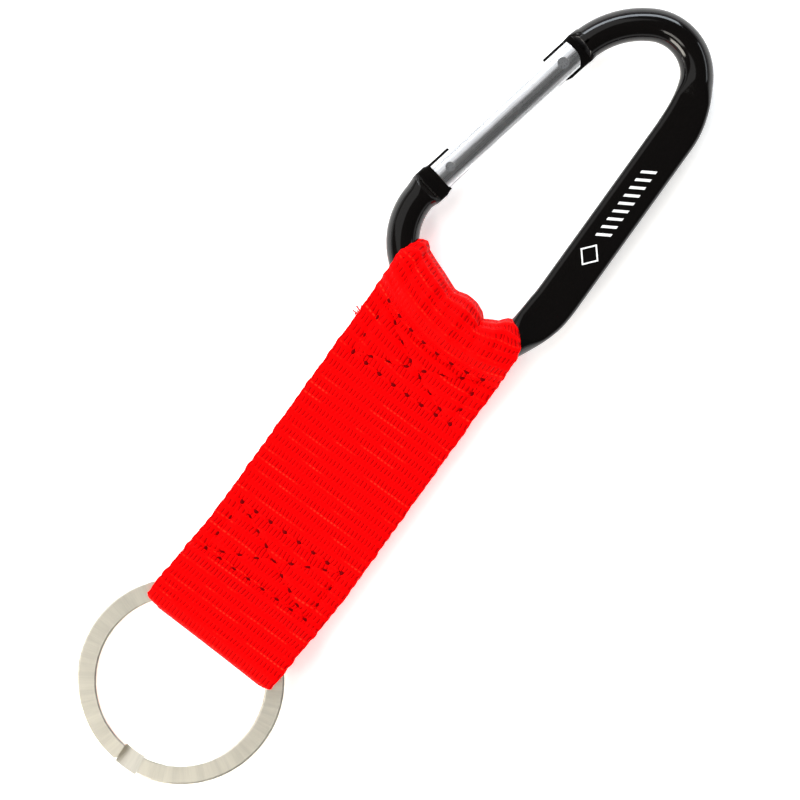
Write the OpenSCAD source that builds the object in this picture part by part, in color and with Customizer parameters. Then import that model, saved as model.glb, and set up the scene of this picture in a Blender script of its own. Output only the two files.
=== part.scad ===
// Carabiner keyring: a bent-rod carabiner with a sprung wire-width gate, a doubled
// webbing strap sewn round its base and round a two-turn split key ring.
// It lies flat: +X across the strap, +Y from the ring to the carabiner, +Z up.
// The origin is the middle of the whole length and width, on the surface it lies on.

/* [Carabiner frame] */
// Diameter of the round rod the frame is bent from
rod_d = 5.4; // [5:0.1:6]
// Straight length of the pressed spine
spine_len = 31.6; // [28:0.4:40]
// Width of the pressed spine across its flat faces
spine_w = 7.1; // [6.4:0.1:7.6]
// Thickness of the pressed spine
spine_t = 3.6; // [3.2:0.1:4.2]
// Lean of the gate line away from the spine, in degrees
gate_lean = 11.7; // [10:0.1:13]
// Slope of the frame's base across the strap, in degrees
base_slope = 15.8; // [14:0.1:18]
// Centre-line radius where the spine starts to turn at the top
top_ease_r = 21.8; // [20:0.2:24]
// Turn of that first easy bend, in degrees
top_ease_turn = 24.2; // [20:0.2:28]
// Centre-line radius of the tight top bend
top_tight_r = 8.05; // [7.7:0.05:8.8]
// Turn of the tight top bend, in degrees
top_tight_turn = 98.1; // [94:0.1:102]
// Centre-line radius of the bend that leads to the gate
top_gate_r = 14.9; // [14:0.1:16]
// Centre-line radius of the bend between the gate line and the base
nose_bend_r = 11.4; // [10.6:0.1:12]
// Centre-line radius of the corner between the base and the spine
spine_corner_r = 7.6; // [7.2:0.1:8.4]
// Centre-line radius of the easy bend at the foot of the spine
foot_ease_r = 27.6; // [26:0.2:30]
// Turn of that easy bend, in degrees
foot_ease_turn = 19.4; // [17:0.2:22]
// Short straight length the bender leaves between two bends
grip_len = 0.4; // [0.3:0.1:0.8]

/* [Frame ends] */
// Thickness of the two flat tongues at the ends of the rod
tongue_t = 2; // [1.6:0.1:2.4]
// Width of the tongues, a little more than the gate
tongue_w = 5.4; // [5.2:0.1:5.8]
// Straight rod between the last top bend and the gate's end
pivot_gap = 1; // [0.8:0.1:1.6]
// How far the flat runs past the rivet before it ends square
tongue_past_rivet = 2; // [1.8:0.1:2.2]
// Length of flat left showing beside the gate's pivot end
pivot_flat = 0.9; // [0.7:0.1:1]
// Length of flat left showing beside the gate's latch end
nose_flat = 2.3; // [1.8:0.1:2.5]
// Length of the sloped shoulder from flat to round at the pivot end
pivot_slope = 1.5; // [1:0.1:2]
// Length of the sloped shoulder from flat to round at the latch end
nose_slope = 1.1; // [0.8:0.1:1.6]
// How far the nose tongue reaches into the gate
nose_reach = 4.2; // [4:0.1:4.6]

/* [Gate] */
// Diameter of the gate rod
gate_d = 5; // [4.8:0.05:5.1]
// Length of the gate rod
gate_len = 29.8; // [28:0.1:30.5]
// Distance of the rivet from the gate's pivot end
rivet_at = 2.8; // [2.6:0.1:3]
// Diameter of the pivot rivet
rivet_d = 1.9; // [1.6:0.1:2.1]
// Distance of the latch pin from the gate's latch end
latch_at = 2.3; // [2.2:0.1:2.5]
// Diameter of the latch pin
latch_d = 1.6; // [1.4:0.1:1.7]
// Diameter of the bore that holds the gate spring
bore_d = 2.7; // [2.6:0.05:2.9]
// Length of the spring bore past the pivot slot
bore_len = 12; // [11:0.5:14]
// Wire diameter of the gate spring
spring_wire = 0.4; // [0.3:0.05:0.45]
// Number of turns in the gate spring
spring_turns = 9; // [7:1:11]

/* [Strap] */
// Width of the webbing
web_w = 25; // [24:0.5:26]
// Thickness of one layer of webbing
web_t = 1.4; // [1.2:0.1:1.6]
// Distance from the strap's middle up to the rim of the carabiner loop
rim_y = 37.2; // [36.6:0.1:38]
// Distance from the strap's middle down to the fold round the ring
fold_y = 35.8; // [35.4:0.1:36.4]
// Length of the slanting edge beside the rim on the gate's side
rim_slant_left = 7.4; // [7:0.1:8]
// Length of the slanting edge beside the rim on the spine's side
rim_slant = 5.5; // [5:0.1:6.5]
// Height of the bend line above the strap's middle
bend_y = 2.2; // [0:0.1:4]
// Height of the cut end on the back, where the third layer stops
cut_end_y = 22.7; // [21:0.1:23]
// Height where the loop's own end stops under the back layer
inner_end_y = 14; // [13:0.1:15]

/* [Stitching] */
// Thickness of the sewing thread
thread_d = 0.5; // [0.4:0.05:0.6]
// Length from one stitch to the next
stitch_pitch = 2.9; // [2.2:0.1:3.4]
// Length of thread showing in each stitch
stitch_len = 2.1; // [1.4:0.1:2.1]
// Width of each sewn box
box_w = 20; // [18:0.5:21]
// Bottom edge of the upper sewn box above the strap's middle
upper_box_y = 16.6; // [16:0.1:17]
// Distance from the upper sewn box to the swell of the loop
upper_box_gap = 0.4; // [0.35:0.05:1]
// Height of the lower sewn box
lower_box_h = 9.6; // [8:0.1:11]
// Bottom edge of the lower sewn box, below the strap's middle
lower_box_y = -22.7; // [-23:0.1:-22]

/* [Split ring] */
// Outside diameter of the split ring
ring_d = 33.7; // [32.6:0.1:34]
// Width of the ring's flat wire
ring_band = 3.3; // [3:0.1:3.6]
// Thickness of the ring's wire, one turn
ring_wire_t = 1.45; // [1.3:0.05:1.5]
// Rounding of the wire's edges
ring_edge_r = 0.4; // [0.2:0.05:0.5]
// Distance of the ring's centre below the strap's middle
ring_drop = 42.3; // [41.8:0.1:42.6]
// Offset of the ring's centre to the left of the strap's middle
ring_side = 0.9; // [0:0.1:1.5]
// Direction from the ring's centre to the step between its turns, in degrees
step_at = 273; // [200:1:340]
// Angle the step between the turns takes, in degrees
step_turn = 14; // [12:1:24]

/* [Placing] */
// Distance of the spine's centre line to the right of the strap's middle
spine_x = 12.5; // [12.4:0.05:12.9]
// Height of the foot of the straight spine above the strap's middle
spine_foot_y = 43.6; // [43.5:0.1:44.2]

/* [Clearances] */
// Room between the rivet and its hole in the tongue, on the radius
rivet_room = 0.05; // [0.02:0.01:0.08]
// Room on each side of a tongue in its slot
slot_room = 0.1; // [0.05:0.05:0.15]
// Room between the tongue's corner and the floor of its slot
floor_room = 0.2; // [0.15:0.05:0.4]
// Room between the rod and the webbing loop
loop_room = 0.6; // [0.5:0.05:0.8]
// Room between the rod's bends and the ends of the loop's rim
rim_room = 0.3; // [0.2:0.05:0.5]
// Room between the ring and the webbing loop
ring_room = 0.4; // [0.35:0.05:0.6]
// Gap between the two turns of the ring
turn_gap = 0.1; // [0.05:0.05:0.2]
// Gap between the two halves of the strap at the bend line
bend_gap = 0.3; // [0.2:0.05:0.5]

/* [Hidden] */
$fn = 96;
// Fine facets on the smallest parts only
small_fn = 32;
spring_fn = 24;

// End point of a left-hand bend that starts at p with heading h
function bend_end(p, h, r, turn) =
    p + r * [sin(h + turn) - sin(h), cos(h) - cos(h + turn)];
// End point of a straight run
function run_end(p, h, l) = p + l * [cos(h), sin(h)];

// Centre line of the frame, counter-clockwise from the foot of the spine
p0 = [spine_x, spine_foot_y];
p1 = run_end(p0, 90, spine_len);
h1 = 90 + top_ease_turn;
p2 = bend_end(p1, 90, top_ease_r, top_ease_turn);
p2b = run_end(p2, h1, grip_len);
h2 = h1 + top_tight_turn;
p3 = bend_end(p2b, h1, top_tight_r, top_tight_turn);
p3b = run_end(p3, h2, grip_len);
gate_h = 270 - gate_lean;
top_gate_turn = gate_h - h2;
p4 = bend_end(p3b, h2, top_gate_r, top_gate_turn);
base_h = 360 - base_slope;
nose_turn = base_h - gate_h;
foot_h = 450 - foot_ease_turn;
corner_turn = foot_h - base_h;
// What the gate line and the straight base must add up to for the loop to close
nose_step = bend_end([0, 0], gate_h, nose_bend_r, nose_turn);
corner_step = bend_end([0, 0], base_h, spine_corner_r, corner_turn);
foot_step = run_end(bend_end([0, 0], foot_h, foot_ease_r, foot_ease_turn), foot_h, grip_len);
gap = p0 - p4 - nose_step - corner_step - foot_step;
det = cos(gate_h) * sin(base_h) - cos(base_h) * sin(gate_h);
gate_line = (gap.x * sin(base_h) - gap.y * cos(base_h)) / det;
base_len = (gap.y * cos(gate_h) - gap.x * sin(gate_h)) / det;
p5 = run_end(p4, gate_h, gate_line);
p6 = bend_end(p5, gate_h, nose_bend_r, nose_turn);
p7 = run_end(p6, base_h, base_len);
p8 = bend_end(p7, base_h, spine_corner_r, corner_turn);
p8b = run_end(p8, foot_h, grip_len);

// Where the gate starts, measured along the gate line
gate_top = run_end(p4, gate_h, pivot_gap);
latch_x = gate_len - latch_at;
slot_t = tongue_t + 2 * slot_room;
cam_r = tongue_w / 2;
pivot_slot = rivet_at + cam_r + floor_room;
nose_slot = nose_reach + 2 * floor_room;
cam_x = rivet_at + tongue_past_rivet;

// Plunger and spring along the gate
plunger_r = bore_d / 2 - 0.1;
plunger_tip = cam_x + 0.02;
plunger_back = plunger_tip + plunger_r + 2;
plunger_travel = 0.8;
stem_d = 1.2;
stem_len = 3.4;
spring_x = plunger_back + plunger_travel;
spring_r = (bore_d - spring_wire) / 2 - 0.12;
spring_end = pivot_slot + bore_len - spring_wire / 2;
spring_pitch = (spring_end - spring_x - spring_wire / 2) / spring_turns;

// Lowest point of the bent base
bar_y = p7.y + spine_corner_r * (cos(base_h) - 1);
loop_r = rod_d / 2 + loop_room;
loop_out = loop_r + web_t;
loop_y = bar_y - rod_d / 2 - loop_room / 2 + loop_r;
rim_in = rim_y - loop_out;
upper_box_h = loop_y - loop_out - upper_box_gap - upper_box_y;
// The rim ends where the inner side of the rod's bends would meet it
nose_arc_c = p5 + nose_bend_r * [-sin(gate_h), cos(gate_h)];
corner_arc_c = p7 + spine_corner_r * [-sin(base_h), cos(base_h)];
rim_touch = rim_y - web_t - rim_room;
rim_left = sqrt(pow(nose_bend_r - rod_d / 2, 2) - pow(nose_arc_c.y - rim_touch, 2))
    - nose_arc_c.x;
rim_right = sqrt(pow(spine_corner_r - rod_d / 2, 2) - pow(corner_arc_c.y - rim_touch, 2))
    + corner_arc_c.x - 0.4;
// Ring loop
ring_t = 2 * ring_wire_t + turn_gap;
ring_loop_r = ring_t / 2 + ring_room;
ring_loop_out = ring_loop_r + web_t;
fold_c = -fold_y + ring_loop_out;
ring_top = -ring_drop + ring_d / 2;
ring_c = [-ring_side, -ring_drop];
end_r = web_t;

// Outline limits, for the origin in the middle of the length and width
low_x = nose_arc_c.x - nose_bend_r - rod_d / 2;
high_x = spine_x + spine_w / 2;
tight_c = p2b + top_tight_r * [-sin(h1), cos(h1)];
high_y = tight_c.y + top_tight_r + rod_d / 2;
low_y = -ring_drop - ring_d / 2;
shift = [-(low_x + high_x) / 2, -(low_y + high_y) / 2, loop_out];

// Sweep of a section along a left-hand bend
module bend(p, h, r, turn)
    translate([p.x, p.y, 0])
        rotate(h)
            translate([0, r, 0])
                rotate(-90)
                    rotate_extrude(angle = turn)
                        translate([r, 0])
                            children();

// Round rod along a straight run, drawn a hair thinner and run on into its neighbours
lap = 0.2;
skin = 0.02;
module rod(p, h, l, d)
    translate([p.x, p.y, 0])
        rotate(h)
            rotate([0, 90, 0])
                translate([0, 0, -lap])
                    cylinder(h = l + 2 * lap, d = d - skin);

// Places its children on the gate line: +X from pivot to latch, +Y into the eye
module on_gate()
    translate([gate_top.x, gate_top.y, 0])
        rotate(gate_h)
            children();

// Block that presses the rod flat above the middle, sloping off at both ends
module press_side(from, to, slope_a, slope_b, t)
    translate([0, 20, 0])
        rotate([90, 0, 0])
            linear_extrude(40)
                polygon([[from, t / 2], [to, t / 2],
                    [to + slope_b, t / 2 + rod_d / 2],
                    [from - slope_a, t / 2 + rod_d / 2]]);

// The same block above and below
module press(from, to, slope_a, slope_b, t) {
    press_side(from, to, slope_a, slope_b, t);
    mirror([0, 0, 1])
        press_side(from, to, slope_a, slope_b, t);
}

// The bent round rod, open at the gate
module bent_rod() {
    rod(p0, 90, spine_len, rod_d);
    bend(p1, 90, top_ease_r, top_ease_turn)
        circle(d = rod_d);
    rod(p2, h1, grip_len, rod_d);
    bend(p2b, h1, top_tight_r, top_tight_turn)
        circle(d = rod_d);
    rod(p3, h2, grip_len, rod_d);
    bend(p3b, h2, top_gate_r, top_gate_turn)
        circle(d = rod_d);
    bend(p5, gate_h, nose_bend_r, nose_turn)
        circle(d = rod_d);
    rod(p6, base_h, base_len, rod_d);
    bend(p7, base_h, spine_corner_r, corner_turn)
        circle(d = rod_d);
    rod(p8, foot_h, grip_len, rod_d);
    bend(p8b, foot_h, foot_ease_r, foot_ease_turn)
        circle(d = rod_d);
    on_gate() {
        rod([-pivot_gap, 0], 0, pivot_gap - pivot_flat / 2, rod_d);
        rod([gate_len + nose_flat / 2, 0], 0,
            gate_line - pivot_gap - gate_len - nose_flat / 2, rod_d);
    }
}

// Rounded edge of the pressed spine: straight, then drawn in to the rod at each end
bead_d = spine_t - 0.1;
bead_off = (spine_w - bead_d) / 2;
bead_sink = bead_off - (rod_d - bead_d) / 2 + 0.1;
// the edges start to draw in this much before the rod bends
bead_lead = 0.7;
top_x = top_ease_r * sin(top_ease_turn) + bead_lead;
top_drop = top_ease_r * (1 - cos(top_ease_turn));
foot_x = foot_ease_r * sin(foot_ease_turn) + bead_lead;
foot_drop = foot_ease_r * (1 - cos(foot_ease_turn));
module bead(side) {
    // side 1 is the outer edge, -1 the inner edge
    a = [spine_x + side * bead_off, p0.y + bead_lead];
    bead_len = spine_len - 2 * bead_lead;
    rod(a, 90, bead_len, bead_d);
    top_rise = top_drop + side * bead_sink;
    top_turn = 2 * atan(top_rise / top_x);
    bend(a + [0, bead_len], 90, top_x / sin(top_turn), top_turn)
        circle(d = bead_d);
    foot_rise = foot_drop + side * bead_sink;
    foot_turn = 2 * atan(foot_rise / foot_x);
    foot_r = foot_x / sin(foot_turn);
    bend(bend_end(a, 270, -foot_r, -foot_turn), 90 - foot_turn, foot_r, foot_turn)
        circle(d = bead_d);
}

// Flat end that carries the rivet; its corner turns round the rivet as a cam
module pivot_tongue()
    difference() {
        translate([0, 0, -tongue_t / 2])
            linear_extrude(tongue_t)
                difference() {
                    union() {
                        translate([-pivot_gap - 0.5, -tongue_w / 2])
                            square([pivot_gap + 0.5 + rivet_at, tongue_w]);
                        translate([rivet_at - 0.1, -tongue_w / 2])
                            square([tongue_past_rivet + 0.1, tongue_w / 2]);
                        translate([rivet_at, 0])
                            circle(r = cam_r);
                    }
                    translate([cam_x, -tongue_w])
                        square([tongue_w, 2 * tongue_w]);
                }
        translate([rivet_at, 0, -tongue_t])
            cylinder(h = 2 * tongue_t, r = rivet_d / 2 + rivet_room);
    }

// Flat end with the hooked notch that takes the latch pin
notch_r = latch_d / 2 + 0.06;
lip_room = latch_d / 2 + 0.3;
nose_end = gate_line - pivot_gap;
module nose_tongue()
    translate([0, 0, -tongue_t / 2])
        linear_extrude(tongue_t)
            difference() {
                union() {
                    translate([gate_len - nose_reach, -tongue_w / 2])
                        square([nose_reach + nose_flat, tongue_w / 2 + gate_d / 2 - 0.3]);
                    polygon([[gate_len - 0.8, 0], [gate_len + 0.3, tongue_w / 2 - 0.4],
                        [gate_len + 0.9, tongue_w / 2 + 0.1],
                        [gate_len + nose_flat + 0.4, tongue_w / 2 + 0.1],
                        [gate_len + nose_flat + 0.4, -tongue_w / 2 - 0.1],
                        [gate_len + 0.6, -tongue_w / 2 - 0.1],
                        [gate_len - 0.8, -tongue_w / 2 + 0.3]]);
                }
                translate([latch_x, 0])
                    circle(r = notch_r);
                translate([latch_x - lip_room, 0])
                    square([lip_room + notch_r, tongue_w]);
                translate([gate_len - nose_reach - 1, gate_d / 2 - 1])
                    square([nose_reach + 1 - latch_at, tongue_w]);
            }

module frame() color("#141414")
    translate(shift)
        union() {
            difference() {
                bent_rod();
                translate([p0.x, p0.y, 0])
                    rotate(90)
                        press(-5, spine_len + 5, 7, 7, spine_t);
                on_gate() {
                    press(-pivot_flat, 4, pivot_slope, 0, tongue_t);
                    press(gate_len - 4, gate_len + nose_flat, 0, nose_slope, tongue_t);
                }
            }
            bead(1);
            bead(-1);
            on_gate() {
                pivot_tongue();
                nose_tongue();
            }
        }

module gate() color("#c8cacc")
    translate(shift)
        on_gate()
            difference() {
                rotate([0, 90, 0])
                    cylinder(h = gate_len, d = gate_d);
                translate([-1, -gate_d, -slot_t / 2])
                    cube([pivot_slot + 1, 2 * gate_d, slot_t]);
                translate([gate_len - nose_slot, -gate_d, -slot_t / 2])
                    cube([nose_slot + 1, 2 * gate_d, slot_t]);
                translate([pivot_slot - 1, 0, 0])
                    rotate([0, 90, 0])
                        cylinder(h = bore_len + 1, d = bore_d);
                translate([rivet_at, 0, -gate_d])
                    cylinder(h = 2 * gate_d, d = rivet_d);
                translate([latch_x, 0, -gate_d])
                    cylinder(h = 2 * gate_d, d = latch_d);
                // rounded corner that swings past the frame's shoulder
                translate([0, 0, -gate_d])
                    linear_extrude(2 * gate_d)
                        difference() {
                            translate([-1, 0])
                                square([rivet_at + 1, gate_d]);
                            translate([rivet_at, 0])
                                circle(r = rivet_at);
                        }
            }

// Length of a cross pin that ends flush with the round gate
function flush(d) = 2 * sqrt(pow(gate_d / 2, 2) - pow(d / 2, 2)) - 0.02;

module pivot_rivet() color("#b4b6b8")
    translate(shift)
        on_gate()
            translate([rivet_at, 0, -flush(rivet_d) / 2])
                cylinder(h = flush(rivet_d), d = rivet_d);

module latch_pin() color("#b4b6b8")
    translate(shift)
        on_gate()
            translate([latch_x, 0, -flush(latch_d) / 2])
                cylinder(h = flush(latch_d), d = latch_d);

module gate_plunger() color("#9fa3a6")
    translate(shift)
        on_gate()
            rotate([0, 90, 0]) {
                translate([0, 0, plunger_tip + plunger_r])
                    sphere(r = plunger_r);
                translate([0, 0, plunger_tip + plunger_r])
                    cylinder(h = plunger_back - plunger_tip - plunger_r, r = plunger_r);
                translate([0, 0, plunger_back])
                    cylinder(h = stem_len, d = stem_d);
            }

// One turn of the spring as two half rings that lean against each other
spring_tilt = atan(spring_pitch / 4 / spring_r);
module spring_turn() {
    rotate([0, -spring_tilt, 0])
        rotate_extrude(angle = 180, $fn = spring_fn)
            translate([spring_r / cos(spring_tilt), 0])
                circle(d = spring_wire, $fn = 8);
    translate([0, 0, spring_pitch / 2])
        rotate([0, spring_tilt, 0])
            rotate(180)
                rotate_extrude(angle = 180, $fn = spring_fn)
                    translate([spring_r / cos(spring_tilt), 0])
                        circle(d = spring_wire, $fn = 8);
}

module gate_spring() color("#8a8d90")
    translate(shift)
        on_gate()
            rotate([0, 90, 0])
                translate([0, 0, spring_x + spring_wire / 2 + spring_pitch / 4])
                    for (i = [0 : spring_turns - 1])
                        translate([0, 0, i * spring_pitch])
                            spring_turn();

// Strap section along its length, drawn as (height along the strap, depth)
module across(w)
    translate([-w / 2, 0, 0])
        rotate([90, 0, 90])
            linear_extrude(w)
                children();

module upper_section()
    difference() {
        union() {
            translate([loop_y, 0])
                circle(r = loop_out);
            translate([rim_in, 0])
                circle(r = loop_out);
            translate([loop_y, -loop_out])
                square([rim_in - loop_y, 2 * loop_out]);
            translate([bend_y + bend_gap / 2 + end_r, -web_t])
                square([loop_y - bend_y - bend_gap / 2 - end_r, 2 * web_t]);
            translate([bend_y + bend_gap / 2 + end_r, 0])
                circle(r = end_r);
            polygon([[inner_end_y - 2.5, -web_t], [inner_end_y, -2 * web_t],
                [cut_end_y, -2 * web_t], [cut_end_y, 0], [inner_end_y - 2.5, 0]]);
        }
        translate([loop_y, 0])
            circle(r = loop_r);
        translate([rim_in, 0])
            circle(r = loop_r);
        translate([loop_y, -loop_r])
            square([rim_in - loop_y, 2 * loop_r]);
    }

module lower_section()
    difference() {
        union() {
            translate([fold_c, 0])
                circle(r = ring_loop_out);
            translate([ring_top - ring_loop_r + 0.6, 0])
                circle(r = ring_loop_out);
            translate([fold_c, -ring_loop_out])
                square([ring_top - ring_loop_r + 0.6 - fold_c, 2 * ring_loop_out]);
            translate([ring_top - 2, -web_t])
                square([bend_y - bend_gap / 2 - end_r - ring_top + 2, 2 * web_t]);
            translate([bend_y - bend_gap / 2 - end_r, 0])
                circle(r = end_r);
        }
        translate([fold_c, 0])
            circle(r = ring_loop_r);
        translate([ring_top - ring_loop_r + 0.6, 0])
            circle(r = ring_loop_r);
        translate([fold_c, -ring_loop_r])
            square([ring_top - ring_loop_r + 0.6 - fold_c, 2 * ring_loop_r]);
    }

module webbing_upper() color("#e01414")
    translate(shift)
        intersection() {
            across(web_w)
                upper_section();
            translate([0, 0, -2 * loop_out])
                linear_extrude(4 * loop_out)
                    polygon([[-web_w / 2 - 1, 0], [web_w / 2 + 1, 0],
                        [web_w / 2 + 1, rim_y - rim_slant - 1],
                        [web_w / 2, rim_y - rim_slant - 1],
                        [rim_right, rim_y - 1.8], [rim_right, rim_y + 1],
                        [-rim_left, rim_y + 1], [-rim_left, rim_y - 1.8],
                        [-web_w / 2, rim_y - rim_slant_left],
                        [-web_w / 2 - 1, rim_y - rim_slant_left]]);
        }

module webbing_lower() color("#e01414")
    translate(shift)
        difference() {
            across(web_w)
                lower_section();
            // corners of the fold give way to the ring
            translate([ring_c.x, ring_c.y, -ring_loop_r])
                linear_extrude(2 * ring_loop_r)
                    difference() {
                        circle(d = ring_d + 2 * ring_room);
                        circle(d = ring_d - 2 * ring_band - 2 * ring_room);
                    }
        }

// One stitch lying on the webbing, half sunk
module stitch(l)
    rotate([90, 0, 90])
        linear_extrude(l)
            intersection() {
                circle(d = thread_d, $fn = small_fn);
                translate([-thread_d, 0])
                    square(2 * thread_d);
            }

// A row of whole stitches from a to b
module seam(a, b) {
    d = b - a;
    l = norm(d);
    n = round(l / stitch_pitch);
    step = l / n;
    translate([a.x, a.y, 0])
        rotate(atan2(d.y, d.x))
            for (i = [0 : n - 1])
                translate([i * step + (step - stitch_len) / 2, 0, 0])
                    stitch(stitch_len);
}

// A sewn box with both diagonals
module sewn_box(y, h) {
    a = [-box_w / 2, y];
    b = [box_w / 2, y];
    c = [box_w / 2, y + h];
    d = [-box_w / 2, y + h];
    seam(a, b);
    seam(b, c);
    seam(c, d);
    seam(d, a);
    seam(a, (a + c) / 2);
    seam((a + c) / 2, c);
    seam(b, (b + d) / 2);
    seam((b + d) / 2, d);
}

module upper_needle_thread() color("#c80f10")
    translate(shift)
        translate([0, 0, web_t])
            sewn_box(upper_box_y, upper_box_h);

module upper_bobbin_thread() color("#c80f10")
    translate(shift) {
        intersection() {
            translate([0, 0, -2 * web_t])
                mirror([0, 0, 1])
                    sewn_box(upper_box_y, upper_box_h);
            translate([-web_w, 0, -10])
                cube([2 * web_w, cut_end_y, 20]);
        }
        intersection() {
            translate([0, 0, -web_t])
                mirror([0, 0, 1])
                    sewn_box(upper_box_y, upper_box_h);
            translate([-web_w, cut_end_y, -10])
                cube([2 * web_w, 20, 20]);
        }
    }

module lower_needle_thread() color("#c80f10")
    translate(shift)
        translate([0, 0, web_t])
            sewn_box(lower_box_y, lower_box_h);

module lower_bobbin_thread() color("#c80f10")
    translate(shift)
        translate([0, 0, -web_t])
            mirror([0, 0, 1])
                sewn_box(lower_box_y, lower_box_h);

// Section of the ring's flat wire, with rounded edges, standing on zero
module wire_section()
    union() {
        translate([-ring_band / 2 + ring_edge_r, 0])
            square([ring_band - 2 * ring_edge_r, ring_wire_t]);
        translate([-ring_band / 2, ring_edge_r])
            square([ring_band, ring_wire_t - 2 * ring_edge_r]);
        for (x = [-1, 1])
            for (y = [ring_edge_r, ring_wire_t - ring_edge_r])
                translate([x * (ring_band / 2 - ring_edge_r), y])
                    circle(r = ring_edge_r, $fn = small_fn);
    }

ring_r = (ring_d - ring_band) / 2;
step_len = 2 * ring_r * sin(step_turn / 2);
// One end of the wire stops short of the step by this angle
end_gap = 1;
module split_ring() color("#a9a6a2")
    translate(shift)
        translate([ring_c.x, ring_c.y, 0])
            rotate(step_at) mirror([0, 1, 0]) {
                // lower turn, from the foot of the step on round to its own cut end
                translate([0, 0, -ring_t / 2])
                    rotate(step_turn / 2)
                        rotate_extrude(angle = 360 - step_turn - end_gap)
                            translate([ring_r, 0])
                                wire_section();
                // upper turn, from its cut end round to the head of the step
                translate([0, 0, turn_gap / 2])
                    rotate(step_turn / 2 + end_gap)
                        rotate_extrude(angle = 360 - step_turn - end_gap)
                            translate([ring_r, 0])
                                wire_section();
                // the step itself, from upper turn down to lower turn
                intersection() {
                    translate([0, 0, -ring_t / 2])
                        linear_extrude(ring_t)
                            difference() {
                                circle(d = ring_d);
                                circle(d = ring_d - 2 * ring_band);
                            }
                    translate([ring_r - ring_band, 0, 0])
                        rotate([90, 0, 90])
                            linear_extrude(2 * ring_band)
                                polygon([[-step_len / 2 - 0.1, turn_gap / 2],
                                    [step_len / 2 + 0.1, -ring_t / 2],
                                    [step_len / 2 + 0.1, -turn_gap / 2],
                                    [-step_len / 2 - 0.1, ring_t / 2]]);
                }
            }

frame();
gate();
pivot_rivet();
latch_pin();
gate_plunger();
gate_spring();
webbing_upper();
webbing_lower();
upper_needle_thread();
upper_bobbin_thread();
lower_needle_thread();
lower_bobbin_thread();
split_ring();
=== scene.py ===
"""Looks for the carabiner keyring, laid out as a Blender add-on and run as a script."""

import math

import bmesh
import bpy
import numpy as np
from bpy.props import (
    FloatProperty,
    FloatVectorProperty,
    IntProperty,
    PointerProperty,
)
from mathutils import Matrix, Vector
from mathutils.bvhtree import BVHTree


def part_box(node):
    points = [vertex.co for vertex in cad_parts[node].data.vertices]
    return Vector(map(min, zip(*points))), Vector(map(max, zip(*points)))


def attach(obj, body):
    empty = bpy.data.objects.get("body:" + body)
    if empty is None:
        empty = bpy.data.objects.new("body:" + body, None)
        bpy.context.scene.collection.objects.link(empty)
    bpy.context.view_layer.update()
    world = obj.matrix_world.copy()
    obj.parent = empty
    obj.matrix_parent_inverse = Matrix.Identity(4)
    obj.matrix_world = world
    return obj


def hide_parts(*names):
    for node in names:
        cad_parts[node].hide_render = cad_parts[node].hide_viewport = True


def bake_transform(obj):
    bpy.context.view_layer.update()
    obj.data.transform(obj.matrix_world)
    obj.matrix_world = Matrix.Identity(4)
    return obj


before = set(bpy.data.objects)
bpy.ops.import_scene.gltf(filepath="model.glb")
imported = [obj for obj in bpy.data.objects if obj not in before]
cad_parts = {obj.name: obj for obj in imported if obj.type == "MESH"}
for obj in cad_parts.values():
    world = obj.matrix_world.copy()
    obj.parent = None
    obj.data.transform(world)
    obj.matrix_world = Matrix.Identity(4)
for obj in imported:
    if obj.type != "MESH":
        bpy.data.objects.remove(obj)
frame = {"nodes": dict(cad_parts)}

bl_info = {
    "name": "Carabiner Keyring",
    "version": (1, 0, 0),
    "blender": (4, 5, 0),
    "location": "View3D > Sidebar > Keyring",
    "description": "Builds the looks of a carabiner keyring around its packed frame",
    "category": "Object",
}

MM = 0.001


def middle(node):
    low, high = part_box(node)
    return (low + high) / 2


# The strap's middle in the row frame: drawings below are in millimetres from it.
RING_RADIUS = 16.85
RING_DROP = 42.3
ORIGIN = Vector(
    (
        middle("webbing_lower").x,
        middle("split_ring").y + RING_DROP * MM,
        middle("webbing_upper").z,
    )
)


def place(x, y, z=0.0):
    """A point given in millimetres from the strap's middle, in the row frame."""
    return ORIGIN + Vector((x, y, z)) * MM


# ---------------------------------------------------------------- properties


class KeyringMetal(bpy.types.PropertyGroup):
    """Sizes and colours of the metal pieces"""

    rod: FloatProperty(
        name="Rod diameter",
        description="Diameter of the round rod the frame is bent from",
        default=5.4 * MM,
        unit="LENGTH",
    )
    spine_width: FloatProperty(
        name="Spine width",
        description="Width of the pressed spine",
        default=7.1 * MM,
        unit="LENGTH",
    )
    spine_thickness: FloatProperty(
        name="Spine thickness",
        description="Thickness of the pressed spine",
        default=3.6 * MM,
        unit="LENGTH",
    )
    black: FloatVectorProperty(
        name="Anodised black",
        description="Colour of the frame's anodised coat",
        default=(0.0016, 0.0013, 0.0012),
        subtype="COLOR",
        size=3,
    )
    silver: FloatVectorProperty(
        name="Gate silver",
        description="Colour of the polished gate",
        default=(0.86, 0.87, 0.89),
        subtype="COLOR",
        size=3,
    )
    steel: FloatVectorProperty(
        name="Ring steel",
        description="Colour of the brushed ring",
        default=(0.9, 0.86, 0.75),
        subtype="COLOR",
        size=3,
    )


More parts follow.
